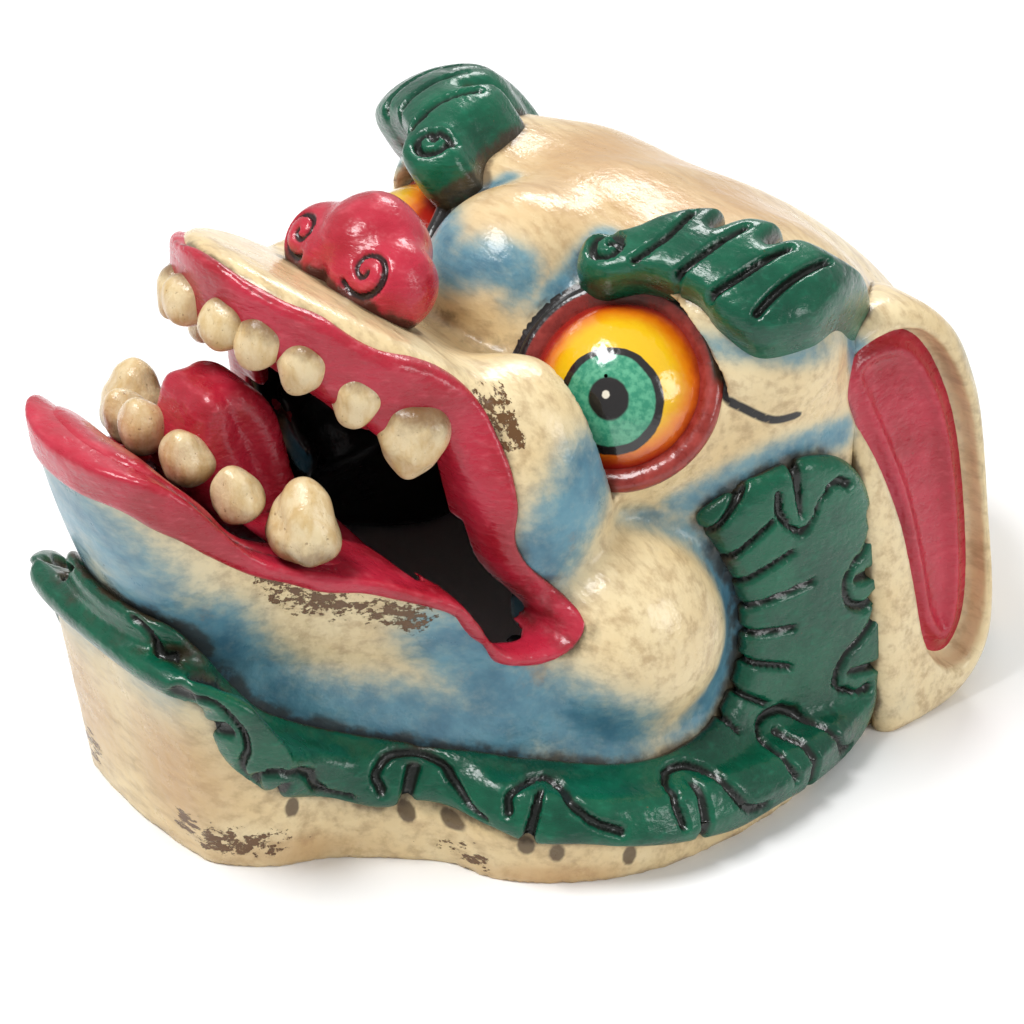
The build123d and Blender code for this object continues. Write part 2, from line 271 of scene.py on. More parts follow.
def head(q):
    """The whole outer form of the head, with the mouth shut."""
    d = ellipsoid(q, *DOME)
    d = smooth_min(d, ellipsoid(q, *FACE), 40)
    d = smooth_min(d, ellipsoid(q, *TEMPLE), 24)
    d = smooth_min(d, ellipsoid(q, *BROW_BONE, yaw=BROW_BONE_YAW), 24)
    d = smooth_min(d, ellipsoid(q, *JOWL), 16)
    d = smooth_min(d, ellipsoid(q, *GLABELLA), 8)
    d = smooth_min(d, snout(q), 10)
    d = smooth_min(d, ellipsoid(q, *THROAT), 8)     # so that the mouth has no floor
    d = smooth_min(d, ellipsoid(q, EYE, (EYE_RADIUS + 5,) * 3), 7)
    d = smooth_min(d, jaw(q), 12)
    d = smooth_min(d, ellipsoid(q, CHEEK, (CHEEK_RADIUS,) * 3), 7)
    return smooth_min(d, collar(q), 6)


def eye_cut(q):
    """The hollow that the eyeball looks out of."""
    along = (q - np.array(EYE, np.float32)) @ GAZE.astype(np.float32)
    return smooth_max(ellipsoid(q, EYE, (EYE_RADIUS + 9,) * 3), EYE_OPENING - along, 2)


def outer_reach():
    """How far out to the side the head goes, round the corner of the mouth."""
    y, z, x = np.meshgrid(np.arange(-112, -38, 2), np.arange(54, 124, 2), np.arange(40, 130),
                          indexing="ij")
    inside = head(np.stack([x, y, z], -1).reshape(-1, 3).astype(np.float32)).reshape(x.shape) < 0
    return Table((-112, 54), 2, np.where(inside, x, 0).max(2).astype(np.float32))


corner_reach = outer_reach()


def mouth_hollow(q):
    """The open space behind the lips, so that their edges stay thin."""
    x, y, z = q.T
    top = z - 166 + 0.75 * (y + 100)
    behind_lips = np.maximum(np.maximum(snout_plan(x, y) + 11, top), np.maximum(y + 46, 62 - z))
    corner = np.maximum(x - corner_reach(y, z) + 10, np.maximum(np.abs(y + 78) - 22, np.abs(z - 88) - 24))
    return np.minimum(behind_lips, corner)


# how far each painted layer stands proud of the head
MANE_PROUD, UPPER_LIP_PROUD, LOWER_LIP_PROUD, BROW_PROUD = 6.5, 2.4, 1.6, 12
TONGUE_HALF_WIDTH = 17
EAR_OUT, BOWL_DEPTH = 117, 11


def skin(q, d):
    """The cream shell, open at the mouth, the eyes, the ear bowls and the rim."""
    shell = smooth_max(d, -(d + WALL), 2)
    shell = smooth_max(shell, -mouth_hollow(q), 2)
    shell = smooth_max(shell, -mouth_side(q[:, 1], q[:, 2]), 3)
    shell = smooth_max(smooth_max(shell, -eye_cut(q), 2), -np.maximum(ear_bowl(q), -(d + 5)), 3)
    return np.maximum(shell, -q[:, 2])


def mane(q, d):
    region = mane_side(q[:, 1], q[:, 2])
    return np.maximum(smooth_max(smooth_max(d - MANE_PROUD, -(d + 2), 2), region * 0.9, 7), -q[:, 2])


def upper_lip(q, d):
    band = smooth_max(upper_lip_side(q[:, 1], q[:, 2]), -mouth_side(q[:, 1], q[:, 2]) - 1.0, 3)
    lip = smooth_max(smooth_max(d - UPPER_LIP_PROUD, -(d + 12), 7), band, 4)
    return smooth_max(lip, -mouth_hollow(q), 3)


def lower_lip(q, d):
    band = smooth_max(lower_lip_side(q[:, 1], q[:, 2]), -mouth_side(q[:, 1], q[:, 2]) - 1.2, 3)
    lip = smooth_max(smooth_max(d - LOWER_LIP_PROUD, -(d + 14), 5), band, 3)
    return smooth_max(lip, -mouth_hollow(q), 3)


def gums(q, d):
    """A rounded strip inside the lips, as far back as the fangs."""
    ring = smooth_max(d + 7, -(d + 15), 4)
    band = np.abs(mouth_side(q[:, 1], q[:, 2]) - 2) - 5
    return smooth_max(smooth_max(ring, band, 4), (q[:, 1] + 84) * 0.9, 4)


def ear_face(q):
    """Height above the flat of the ear, which leans in a little towards its top."""
    x, y, z = q.T
    merged = (1 - step_up(y, 52, 76)) * step_up(z, 96, 126)
    lean = 0.05 * (z - 20) + 0.0008 * (z - 20) ** 2
    return (x - EAR_OUT + lean + 0.04 * (y - 60) + 4 * merged) * 0.96


def ear_bowl(q):
    """The hollow in the face of the ear."""
    return smooth_max(concha_side(q[:, 1], q[:, 2]), -(ear_face(q) + BOWL_DEPTH), 6)


def ear(q, d):
    rim = smooth_max(smooth_max(ear_face(q), -(d + 3), 3), ear_side(q[:, 1], q[:, 2]), 11)
    return np.maximum(smooth_max(rim, -ear_bowl(q), 3), -q[:, 2])


def concha(q, d):
    """The red lining of the ear bowl, with a soft ridge round its edge."""
    inside = concha_side(q[:, 1], q[:, 2])
    ridge = 3 * np.exp(-((inside + 9) / 3) ** 2)
    floor = smooth_min(ear_face(q) + BOWL_DEPTH - 1 - ridge, d + 4, 4)
    return smooth_max(smooth_max(floor, -(d + 8), 2), inside - 2.5, 3)


NOSE = np.array((0, -73, 184), np.float32)


def nose(q, d):
    body = ellipsoid(q, NOSE + (0, 6, 0), (20, 19, 18), pitch=25)
    body = smooth_min(body, ellipsoid(q, NOSE + (19, 1, -5), (14, 15, 15)), 5)
    return smooth_min(body, ellipsoid(q, NOSE + (8, -7, -7), (9, 10, 12)), 5)


tongue_side = Outline([(-147, 141), (-142, 156), (-132, 158), (-122, 154), (-115, 145), (-112, 131),
                       (-108, 117), (-100, 104), (-92, 94), (-104, 88), (-126, 96), (-142, 112),
                       (-149, 127)], *SIDE)


def tongue(q, d):
    """A broad leaf with a groove down its flank."""
    x, y, z = q.T
    groove = 2.2 * np.exp(-((y + 126 + 0.35 * (z - 130)) / 5) ** 2)
    return smooth_max(tongue_side(y, z) * 0.9, x - TONGUE_HALF_WIDTH + groove, 9)


# The brow lies in a plane of its own.
BROW_AT = np.array((70, 20, 178), np.float32)
BROW_ACROSS = np.array((0.834, 0.548, -0.07), np.float32)
BROW_UP = np.array((-0.44, 0.74, 0.51), np.float32)
brow_plane = Outline([(-43, 2), (-45, -6), (-42, -14), (-33, -17), (-21, -13), (-10, -14), (1, -17),
                      (10, -23), (24, -26), (38, -16), (43, -3), (46, 10), (46, 22), (36, 21), (24, 19),
                      (16, 10), (17, 22), (6, 21), (-3, 11), (-3, 22), (-13, 20), (-22, 14), (-28, 8),
                      (-34, 5)], (-70, -50), (70, 50), 0.5)


def in_brow(q):
    """Where points lie in the brow's plane, along it and up it."""
    away = q - BROW_AT
    return away @ BROW_ACROSS, away @ BROW_UP


def brow(q, d):
    u, v = in_brow(q)
    region = smooth_max(brow_plane(u, v), np.abs(d - 2) - 14, 4)
    return smooth_max(smooth_max(d - BROW_PROUD, -(d + WALL), 2), region, 8)


def everything(q, d):
    """The nearest painted surface, for the painted shade and grime laid into the hollows."""
    nearest = skin(q, d)
    for form in (mane, upper_lip, lower_lip, ear, brow, nose):
        nearest = np.minimum(nearest, form(q, d))
    return nearest


# ---------------------------------------------------------------- meshing
def value(form, points):
    q = folded(points)
    return form(q, head(q))


def slopes_of(form, points, reach=0.6):
    """The direction in which a field grows fastest, which is a surface's normal."""
    slopes = []
    for axis in range(3):
        step = np.zeros(3, np.float32)
        step[axis] = reach
        slopes.append(value(form, points + step) - value(form, points - step))
    slopes = np.stack(slopes, 1)
    return slopes / (np.linalg.norm(slopes, axis=1, keepdims=True) + 1e-9)


def sculpt(form, low, high, step, both=True):
    """The surface where a field is zero: points, faces and normals. A form that crosses the middle
    is worked out on one half, and its mirror image is added."""
    start = (0 if both else low[0], low[1], low[2])
    axes = [np.arange(a, b + step, step, dtype=np.float32) for a, b in zip(start, high)]
    yz = np.stack(np.meshgrid(axes[1], axes[2], indexing="ij"), -1).reshape(-1, 2)
    layers = []
    for x in axes[0]:
        q = np.concatenate([np.full((len(yz), 1), x, np.float32), yz], 1)
        layers.append(form(q, head(q)).reshape(len(axes[1]), len(axes[2])))
    values = np.stack(layers)
    if both:
        values = np.concatenate([values[:0:-1], values])
    corner = np.array((-axes[0][-1] if both else axes[0][0], axes[1][0], axes[2][0]))
    grid = openvdb.FloatGrid(3.0)
    grid.copyFromArray(np.clip(values / step, -3, 3).astype(np.float32))
    verts, faces = grid.convertToQuads(0.0)
    verts = (verts * step + corner).astype(np.float32)
    for _ in range(2):
        push = np.clip(value(form, verts), -step, step)
        verts = verts - slopes_of(form, verts) * push[:, None] * 0.9
    normals = slopes_of(form, verts)
    a, b, c = (verts[faces[:, i]] for i in range(3))
    facing = np.sum(np.cross(b - a, c - a) * normals[faces[:, 0]])
    return verts, faces if facing > 0 else faces[:, ::-1], normals


def hollows(points, normals):
    """0 in the open, towards 1 where other surfaces close in: the mask for painted shade and grime."""
    shut = np.zeros(len(points), np.float32)
    for reach, weight in ((3, 0.5), (8, 0.3), (18, 0.2)):
        free = value(everything, points + normals * reach) / reach
        shut += weight * np.clip(1 - free, 0, 1)
    return shut


def lumps(points, size, seed=0):
    """Smooth irregular waves between about -1 and 1, for handwork that is never quite true."""
    make = np.random.default_rng(seed)
    total = np.zeros(len(points), np.float32)
    for _ in range(7):
        direction = make.normal(size=3)
        direction *= 2 * pi / (size * make.uniform(0.7, 1.6) * np.linalg.norm(direction))
        total += np.sin(points @ direction.astype(np.float32) + make.uniform(0, 6.3))
    return total / 3


CENTRE = Vector(((cad_low.x + cad_high.x) / 2, (cad_low.y + cad_high.y) / 2, cad_low.z))


def build(name, verts, faces, nodes, slot, material, mirror=False, **layers):
    """A smooth Blender mesh from arrays, with one float attribute for each named layer."""
    side = np.array((-1 if mirror else 1, 1, 1))
    mesh = bpy.data.meshes.new(name)
    turned_faces = faces[:, ::-1] if mirror else faces
    mesh.from_pydata(verts * side * UNIT + np.array(CENTRE), [], turned_faces.tolist())
    mesh.update()
    mesh.shade_smooth()
    for layer, values in layers.items():
        attribute = mesh.attributes.new(layer, "FLOAT", "POINT")
        attribute.data.foreach_set("value", np.ascontiguousarray(values, np.float32))
    mesh.materials.append(material)
    piece = bpy.data.objects.new(name, mesh)
    bpy.context.scene.collection.objects.link(piece)
    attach(piece, "root")
    if nodes:
        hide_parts(*nodes)


def carved(verts, normals, lines, width, depth):
    """Points pushed in along carved lines, and how deep each one went, from 0 to 1."""
    cut = 1 - step_up(lines, width * 0.25, width)
    return verts - normals * (depth * cut)[:, None], cut


# ---------------------------------------------------------------- materials
class Paint:
    """A node material, made by calls that each add one node."""

    def __init__(self, name, roughness=0.3, coat=0.4):
        self.material = bpy.data.materials.new(name)
        self.material.use_nodes = True
        self.nodes = self.material.node_tree.nodes
        self.links = self.material.node_tree.links
        self.shader = self.nodes["Principled BSDF"]
        self.shader.inputs["Roughness"].default_value = roughness
        self.shader.inputs["Coat Weight"].default_value = coat
        self.shader.inputs["Coat Roughness"].default_value = 0.12
        self.shader.inputs["Specular IOR Level"].default_value = 0.3
        self.place = self.nodes.new("ShaderNodeTexCoord").outputs["Object"]

    def feed(self, socket, source):
        if isinstance(source, bpy.types.NodeSocket):
            self.links.new(source, socket)
        else:
            socket.default_value = source

    def layer(self, name):
        node = self.nodes.new("ShaderNodeAttribute")
        node.attribute_name = name
        return node.outputs["Fac"]

    def noise(self, size, detail=4, stretch=(1, 1, 1), roughness=0.6):
        """Noise whose features are about this many millimetres across."""
        mapping = self.nodes.new("ShaderNodeMapping")
        self.links.new(self.place, mapping.inputs["Vector"])
        mapping.inputs["Scale"].default_value = [s * 1000 / size for s in stretch]
        node = self.nodes.new("ShaderNodeTexNoise")
        self.links.new(mapping.outputs["Vector"], node.inputs["Vector"])
        node.inputs["Scale"].default_value = 1
        node.inputs["Detail"].default_value = detail
        node.inputs["Roughness"].default_value = roughness
        return node.outputs["Fac"]

    def math(self, operation, a, b=0.0, clamp=False):
        node = self.nodes.new("ShaderNodeMath")
        node.operation = operation
        node.use_clamp = clamp
        self.feed(node.inputs[0], a)
        self.feed(node.inputs[1], b)
        return node.outputs[0]

    def between(self, source, low, high, start=0.0, end=1.0):
        node = self.nodes.new("ShaderNodeMapRange")
        node.interpolation_type = "SMOOTHSTEP"
        for key, item in zip(("Value", "From Min", "From Max", "To Min", "To Max"),
                             (source, low, high, start, end)):
            self.feed(node.inputs[key], item)
        return node.outputs["Result"]

    def mix(self, amount, a, b, how="MIX"):
        node = self.nodes.new("ShaderNodeMix")
        node.data_type = "RGBA"
        node.blend_type = how
        self.feed(node.inputs["Factor"], amount)
        self.feed(node.inputs["A"], (*a, 1) if isinstance(a, tuple) else a)
        self.feed(node.inputs["B"], (*b, 1) if isinstance(b, tuple) else b)
        return node.outputs["Result"]

    def finish(self, colour, roughness=None, height=None, rise=0.3, coat=None):
        self.feed(self.shader.inputs["Base Color"], colour)
        if roughness is not None:
            self.feed(self.shader.inputs["Roughness"], roughness)
        if height is not None:
            bump = self.nodes.new("ShaderNodeBump")
            bump.inputs["Distance"].default_value = rise / 1000
            self.feed(bump.inputs["Height"], height)
            self.links.new(bump.outputs["Normal"], self.shader.inputs["Normal"])
            self.links.new(bump.outputs["Normal"], self.shader.inputs["Coat Normal"])
        return self.material


# dark brown for the painted shade in the hollows, with some grime
SHADE_AND_GRIME = (0.045, 0.024, 0.012)
UMBER = (0.14, 0.065, 0.022)
INK = (0.012, 0.010, 0.010)


def shaded_and_grimed(paint, colour, amount=1.0, tint=SHADE_AND_GRIME):
    """Painted shade and dirt in the hollows, darkest where other surfaces close in, broken up by noise."""
    patchy = paint.noise(9, 5)
    shade_and_dirt = paint.math("MULTIPLY", paint.layer("hollow"), paint.between(patchy, 0.25, 0.7, 0.45, 1.25))
    return paint.mix(paint.between(shade_and_dirt, 0.30, 0.85, 0.0, amount), colour, tint)


def enamel(name, colour, dark, light, roughness=0.25, shade_and_grime_amount=0.9, groove_tint=(0.01, 0.012, 0.01)):
    """Glossy brushed paint, darkened almost to black along the carved lines."""
    paint = Paint(name, roughness)
    strokes = paint.noise(5, 4, (0.5, 1, 2.2))
    cloud = paint.noise(30, 4)
    base = paint.mix(paint.between(cloud, 0.3, 0.7), dark, colour)
    base = paint.mix(paint.between(strokes, 0.5, 0.78, 0.0, 0.45), base, light)
    # painted shade and grime: darker where other surfaces close in
    base = shaded_and_grimed(paint, base, shade_and_grime_amount)
    base = paint.mix(paint.between(paint.layer("groove"), 0.2, 0.7, 0.0, 0.97), base, groove_tint)
    specks = paint.noise(2.2, 3)
    base = paint.mix(paint.between(specks, 0.72, 0.76, 0.0, 0.6), base, UMBER)
    shine = paint.between(strokes, 0.3, 0.8, roughness, roughness + 0.16)
    relief = paint.math("ADD", paint.noise(14, 3), paint.math("MULTIPLY", strokes, 0.35))
    return paint.finish(base, shine, relief, 1.1)


def gesso():
    """Cream varnished paint with airbrushed blue, brush streaks, stains, chips and a dark inside."""
    paint = Paint("cream_gesso", 0.33, 0.35)
    cream, butter, tan = (0.80, 0.66, 0.40), (0.72, 0.54, 0.28), (0.50, 0.28, 0.11)
    cloud = paint.noise(45, 5)
    streak = paint.noise(7, 5, (0.45, 1.6, 1.6))
    base = paint.mix(paint.between(cloud, 0.3, 0.72), cream, butter)
    base = paint.mix(paint.between(streak, 0.40, 0.74, 0.0, 0.7), base, (0.42, 0.28, 0.14))
    toned = paint.math("MULTIPLY", paint.layer("tan"), paint.between(cloud, 0.2, 0.7, 0.5, 1.1))
    base = paint.mix(paint.math("MULTIPLY", toned, 0.75), base, tan)
    sky = paint.mix(paint.between(paint.noise(16, 4), 0.3, 0.7), (0.055, 0.165, 0.24), (0.12, 0.29, 0.37))
    airbrush = paint.math("MULTIPLY", paint.layer("blue"), paint.between(streak, 0.25, 0.75, 0.8, 1.15))
    base = paint.mix(paint.between(airbrush, 0.0, 0.9), base, (0.32, 0.42, 0.38))
    base = paint.mix(paint.between(airbrush, 0.25, 1.0), base, sky)
    stain = paint.noise(26, 6, roughness=0.7)
    base = paint.mix(paint.between(stain, 0.60, 0.80, 0.0, 0.55), base, (0.30, 0.18, 0.09))
    scratch = paint.noise(3.4, 6, (0.3, 1.2, 1.2), 0.7)
    chip = paint.math("ADD", scratch, paint.math("MULTIPLY", paint.layer("worn"), 0.26))
    chipped = paint.between(chip, 0.73, 0.76)
    base = paint.mix(chipped, base, UMBER)
    base = paint.mix(paint.between(paint.layer("notch"), 0.3, 0.7, 0.0, 0.85), base, (0.06, 0.03, 0.012))
    # painted shade and grime: darker where other surfaces close in
    base = shaded_and_grimed(paint, base, 0.75)
    base = paint.mix(paint.between(paint.layer("liner"), 1.2, 2.2, 1.0, 0.0), base, INK)
    base = paint.mix(paint.between(paint.layer("inside"), 0.3, 0.8), base, INK)
    shine = paint.between(stain, 0.3, 0.8, 0.24, 0.5)
    brushed = paint.math("ADD", paint.noise(18, 4), paint.math("MULTIPLY", streak, 0.3))
    relief = paint.math("SUBTRACT", brushed, paint.math("MULTIPLY", chipped, 0.25))
    return paint.finish(base, shine, relief, 1.0)


def ivory():
    """Yellowed enamel with pits, darker brown towards the root."""
    paint = Paint("ivory_tooth", 0.3, 0.5)
    streak = paint.noise(5, 5, (1, 1, 0.5))
    base = paint.mix(paint.between(streak, 0.35, 0.7), (0.74, 0.60, 0.36), (0.60, 0.42, 0.19))
    root = paint.math("ADD", paint.layer("root"), paint.math("MULTIPLY", paint.noise(4, 4), 0.5))
    base = paint.mix(paint.between(root, 0.8, 1.35, 0.0, 0.85), base, (0.14, 0.06, 0.02))
    pits = paint.noise(1.8, 4)
    base = paint.mix(paint.between(pits, 0.62, 0.72, 0.0, 0.7), base, (0.22, 0.12, 0.05))
    relief = paint.math("ADD", streak, paint.math("MULTIPLY", pits, -0.3))
    return paint.finish(base, paint.between(streak, 0.3, 0.7, 0.25, 0.4), relief, 0.7)


def eye_paint():
    """Rings round the gaze: yellow to orange to red, a black ring, green iris, black pupil and a painted
    highlight dot.
    """
    paint = Paint("eye_paint", 0.16, 1.0)
    wobble = paint.math("MULTIPLY", paint.math("SUBTRACT", paint.noise(9, 3), 0.5), 1.6)
    r = paint.math("ADD", paint.layer("ring"), wobble)
    edge = paint.math("ADD", paint.layer("glow"), paint.math("MULTIPLY", wobble, 2.5))
    base = paint.mix(paint.between(edge, 1.0, 8.0), (0.84, 0.50, 0.008), (0.78, 0.17, 0.004))
    base = paint.mix(paint.between(edge, 6.0, 10.5), base, (0.36, 0.012, 0.006))
    fibres = paint.noise(2.5, 4)
    green = paint.mix(paint.between(fibres, 0.35, 0.65), (0.03, 0.26, 0.15), (0.11, 0.42, 0.25))
    base = paint.mix(paint.between(r, 17.4, 16.9), base, INK)
    base = paint.mix(paint.between(r, 15.0, 14.3), base, green)
    base = paint.mix(paint.between(r, 7.4, 6.4), base, INK)
    # a painted highlight: a pale dot in the pupil
    base = paint.mix(paint.between(paint.layer("highlight_dot"), 1.6, 1.1), base, (0.8, 0.74, 0.6))
    # painted shade and grime: darker where the lids and skin close in
    base = shaded_and_grimed(paint, base, 0.7)
    return paint.finish(base, paint.between(fibres, 0.3, 0.7, 0.13, 0.26), paint.noise(12, 3), 0.5)


def lid_paint():
    """Brick red, with the black line along the crest of the upper lid."""
    paint = Paint("lid_paint", 0.3, 0.5)
    streak = paint.noise(5, 4)
    base = paint.mix(paint.between(streak, 0.35, 0.7), (0.22, 0.018, 0.012), (0.34, 0.04, 0.03))
    base = paint.mix(paint.between(paint.layer("line"), 0.35, 0.65), base, INK)
    # painted shade and grime: darker where the skin and brow close in
    base = shaded_and_grimed(paint, base, 0.7)
    return paint.finish(base, paint.between(streak, 0.3, 0.7, 0.25, 0.4), paint.noise(9, 3), 0.6)


CRIMSON = ((0.50, 0.022, 0.050), (0.33, 0.010, 0.020), (0.66, 0.10, 0.13))
GREEN = ((0.0, 0.105, 0.050), (0.0, 0.050, 0.026), (0.002, 0.17, 0.088))
cream_gesso = gesso()
ivory_tooth = ivory()
eyeball = eye_paint()
lid = lid_paint()
green_hair = enamel("green_hair", *GREEN)
crimson = enamel("crimson_paint", *CRIMSON, shade_and_grime_amount=0.85, groove_tint=(0.02, 0.008, 0.008))


# ---------------------------------------------------------------- the skin
def near_line(points, line):
    """Distance from points to a smooth 3-D line."""
    route = curve(line, steps=6)
    nearest = np.full(len(points), 1e9, np.float32)
    for a, b in zip(route, route[1:]):
        edge = b - a
        t = np.clip((points - a) @ edge / (edge @ edge + 1e-9), 0, 1)
        nearest = np.minimum(nearest, np.linalg.norm(points - a - t[:, None] * edge, axis=1))
    return nearest


def settled(line, form, offset=0):
    """A line's points moved onto the surface of a form."""
    points = curve(line, steps=3).astype(np.float32)
    for _ in range(4):
        points = points - slopes_of(form, points) * (value(form, points) - offset)[:, None] * 0.8
    return points


def blob(q, centre, radii):
    """1 at a place, fading to 0 at these radii."""
    away = np.linalg.norm((q - np.array(centre, np.float32)) / np.array(radii, np.float32), axis=1)
    return 1 - step_up(away, 0.25, 1)


# the black tail that runs back from the upper lid
LINER = [(99, 1, 148), (101, 7, 142), (101, 14, 138), (101, 22, 135), (101, 30, 136)]
# the airbrushed blue: lines through the shaded places, each with its width and strength
AIRBRUSH = (
    ([(88, -44, 130), (86, -54, 116), (82, -64, 100), (82, -72, 92)], 27, 1.0),        # beside the snout
    ([(106, -50, 42), (92, -76, 56), (86, -86, 72), (80, -94, 84)], 34, 1.0),       # under the corner
    ([(92, -80, 46), (66, -108, 48), (48, -132, 52), (38, -149, 68), (36, -160, 88)], 32, 1.0),  # jaw foot
    ([(0, -38, 168), (12, -32, 174), (24, -26, 172), (34, -36, 165)], 19, 0.9),        # between the eyes
    ([(34, -30, 162), (32, -12, 168), (28, 8, 178)], 10, 0.9),
    ([(36, -48, 160), (24, -56, 172), (28, -50, 178)], 9, 0.6),                        # beside the nose
    ([(86, -6, 106), (97, 10, 114), (102, 30, 121), (102, 52, 120)], 13, 0.85),        # over the mane
    ([(58, -8, 168), (84, 0, 164), (106, 24, 160), (96, 52, 155)], 11, 0.7),           # under the brow
    ([(98, 60, 150), (101, 70, 120), (101, 76, 90), (102, 74, 50), (108, 74, 10)], 13, 0.9),  # at the ear
    ([(88, 124, 130), (96, 136, 80), (98, 138, 10)], 28, 0.8),                         # behind the ear
    ([(0, -188, 126), (12, -184, 118), (20, -178, 104), (24, -170, 86)], 44, 0.9))     # the chin
CHIPS = ([(51, -145, 113), (54, -137, 101), (72, -112, 94)], [(82, -105, 103), (74, -108, 92)],
         [(66, -70, 158), (73, -68, 146)], [(96, -100, 6), (60, -150, 10), (30, -168, 12)])
# the dark marks along the skirt, just under the beard
NOTCHES = [(58, -144, 25), (77, -111, 20), (90, -101, 19), (114, -88, 16), (121, -80, 13), (130, -58, 9)]
SKIRT_STAINS = [((28, -170, 34), (34, 30, 34)), ((60, -150, 6), (50, 40, 10)), ((118, -84, 3), (40, 40, 7))]
CHEEK_CREAM = np.array((0.82, -0.41, 0.41))     # where the cheek stays cream


def paint_skin(verts, normals):
    """The layers that the cream paint reads, worked out at each point of the skin."""
    q = folded(verts)
    d = head(q)
    x, y, z = q.T
    out = q - np.array(CHEEK)
    from_cheek = np.linalg.norm(out, axis=1)
    turned_away = 1 - step_up(out @ CHEEK_CREAM / from_cheek, 0.10, 0.62)
    blue = turned_away * (1 - step_up(np.abs(from_cheek - CHEEK_RADIUS), 3, 13))
    for line, width, strength in AIRBRUSH:
        blue = np.maximum(blue, strength * (1 - step_up(near_line(q, line), 0, width)))
    tan = blob(q, (0, 50, 180), (95, 105, 60))
    for place, radii in SKIRT_STAINS:
        tan = np.maximum(tan, 0.8 * blob(q, place, radii))
    worn = np.zeros(len(q))
    for line in CHIPS:
        worn = np.maximum(worn, 1 - step_up(near_line(q, line), 2, 13))
    inside = step_up(-d, WALL * 0.6, WALL * 0.9)
    notch = np.max([blob(q, place, (14, 4, 6.5)) for place in NOTCHES], axis=0)
    away = q - np.array(EYE)
    from_eye = np.linalg.norm(away, axis=1)
    off_gaze = np.degrees(np.arccos(np.clip(away @ GAZE / from_eye, -1, 1)))
    above_eye = step_up(away @ axes_round(GAZE)[2], -6, 2) * (1 - step_up(from_eye, 40, 43))
    rim = np.abs(off_gaze - 69) * 0.6 + 9 * (1 - above_eye)
    return {"blue": blue, "tan": tan, "worn": worn, "inside": inside, "notch": notch,
            "liner": np.minimum(near_line(q, settled(LINER, lambda q, d: d)), rim),
            "hollow": hollows(verts, normals)}


verts, faces, normals = sculpt(skin, (0, -196, -3), (142, 196, 222), 2.0)
build("painted_head", verts, faces, ["head_shell", "snout", "lower_jaw", "neck_skirt", "cheek_left",
      "cheek_right"], "cream_gesso", cream_gesso, **paint_skin(verts, normals))

# ---------------------------------------------------------------- the mane
MANE_RIM = [(95, 7, 111), (101, 30, 118), (103, 51, 111), (101, 68, 79), (104, 69, 50), (108, 66, 16),
            (113, 49, 1), (125, 21, 5), (130, 4, 6), (133, -34, 9), (131, -54, 13), (124, -72, 17),
            (111, -88, 18), (90, -98, 22), (76, -109, 24), (60, -134, 27), (51, -160, 40), (41, -173, 69),
            (3, -172, 73)]
HOOK = [(-10, 12), (-12, 18), (-8, 26), (1, 28), (9, 24), (13, 17), (19, 11), (27, 9)]
# where each hook's slit meets the rim, which way its tail goes, and how far in it reaches
HOOKS = [((101, 30, 116), -1, 0.95), ((102, 67, 65), 1, 0.8), ((107, 66, 29), 1, 0.9),
         ((127, 18, 9), 1, 0.95), ((133, -34, 9), 1, 0.88), ((113, -86, 20), 1, 0.8),
         ((76, -109, 24), 1, 0.6), ((58, -149, 38), 1, 0.58), ((46, -167, 60), 1, 0.55)]
WAVE = [(20, -180, 92), (26, -177, 88), (30, -174, 82), (34, -171, 74), (38, -167, 70), (46, -160, 68),
        (50, -154, 60), (50, -155, 50), (50, -156, 42)]
FAN_STEP = radians(15)


def along_line(points, line):
    """How far along a 3-D line each point is, and how far from it."""
    route = curve(line, steps=5)
    nearest = np.full(len(points), 1e9)
    run = np.zeros(len(points))
    gone = 0
    for a, b in zip(route, route[1:]):
        edge = b - a
        length = np.linalg.norm(edge)
        t = np.clip((points - a) @ edge / (length * length), 0, 1)
        away = np.linalg.norm(points - a - t[:, None] * edge, axis=1)
        run = np.where(away < nearest, gone + t * length, run)
        nearest = np.minimum(nearest, away)
        gone += length
    return run, nearest


def mane_lines(q):
    """Distance to the carved lines of the mane: hooks along its rim, a wave, and a fan of strokes."""
    s, t = along_line(q, MANE_RIM)
    hook = Outline(HOOK, (-30, -10), (40, 40), 0.5, closed=False)
    slit = Outline([(0, 21), (-1, 10), (-2, -3)], (-30, -10), (40, 40), 0.5, closed=False)
    lines = near_line(q, settled(WAVE, mane))
    for place, way, reach in HOOKS:
        start, _ = along_line(np.array([place], float), MANE_RIM)
        a, b = (start[0] - s) * way, t / reach
        near = (np.abs(a) < 32) & (b < 36)
        a, b = a[near], b[near]
        lines[near] = np.minimum(lines[near], np.minimum(hook(a, b), slit(a, b) - 0.4) * reach + 1 - reach)
    away = np.hypot(q[:, 1] - CHEEK[1], q[:, 2] - CHEEK[2])
    angle = np.arctan2(q[:, 2] - CHEEK[2], q[:, 1] - CHEEK[1])
    fan = np.abs((angle / FAN_STEP) % 1 - 0.5) * FAN_STEP * away
    reach = 45 + 15 * step_up(angle, -1.2, 0) + 4 * np.sin(angle * 9)
    fan += 30 * (step_up(away, reach, reach + 4) + step_up(np.abs(angle), 1.05, 1.1))
    return np.minimum(lines, fan * 1.4)


verts, faces, normals = sculpt(mane, (0, -200, -3), (142, 78, 126), 1.1)
q = folded(verts)
verts, cut = carved(verts, normals, mane_lines(q), 2.3, 3.0)
build("mane_and_beard", verts, faces, ["beard", "mane_left", "mane_right"], "green_hair", green_hair,
      hollow=hollows(verts, normals), groove=cut)

